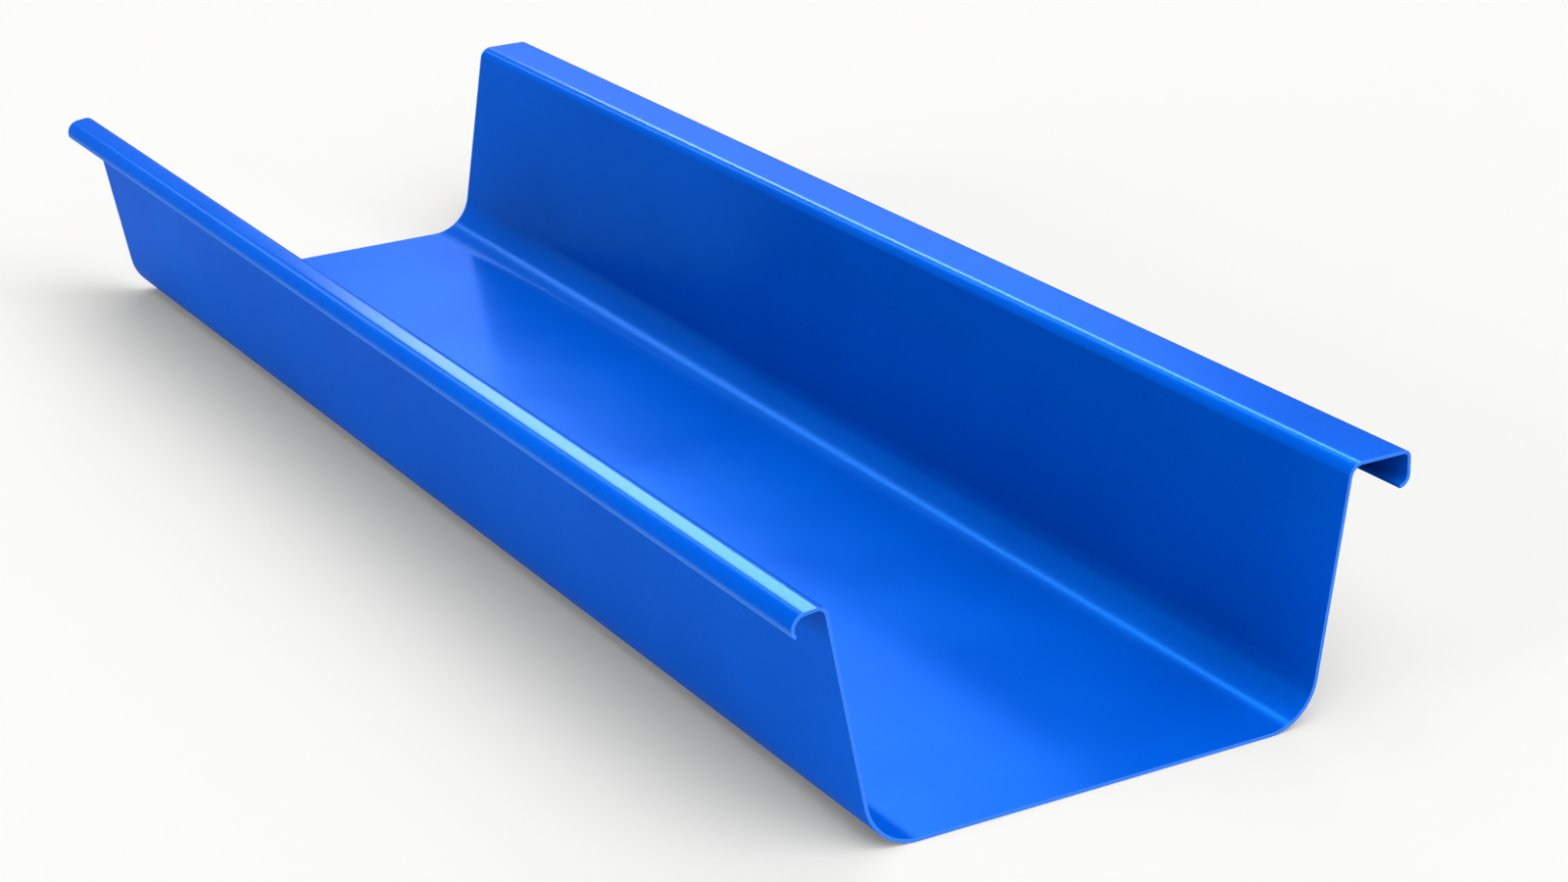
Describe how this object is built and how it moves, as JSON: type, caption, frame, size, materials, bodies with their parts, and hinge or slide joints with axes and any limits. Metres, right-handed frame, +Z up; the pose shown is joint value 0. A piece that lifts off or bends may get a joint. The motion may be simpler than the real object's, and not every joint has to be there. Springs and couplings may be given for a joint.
{
  "type": "roof gutter section",
  "caption": "Length of open roof gutter folded from painted sheet metal, with a flat sole, leaning walls, a rolled front lip and a back flange with a turned-down edge.",
  "frame": {"origin": "middle of the sole's underside, where it rests on the ground", "axes": "+X across the trough from the front wall with the rolled lip to the back wall with the flange, +Y along the gutter, +Z up"},
  "size_m": [0.2771, 0.8, 0.1067],
  "materials": {
    "coated_sheet": "semi-gloss blue coating over sheet steel"
  },
  "bodies": {
    "root": {"gutter_sheet": "coated_sheet"}
  },
  "joints": []
}
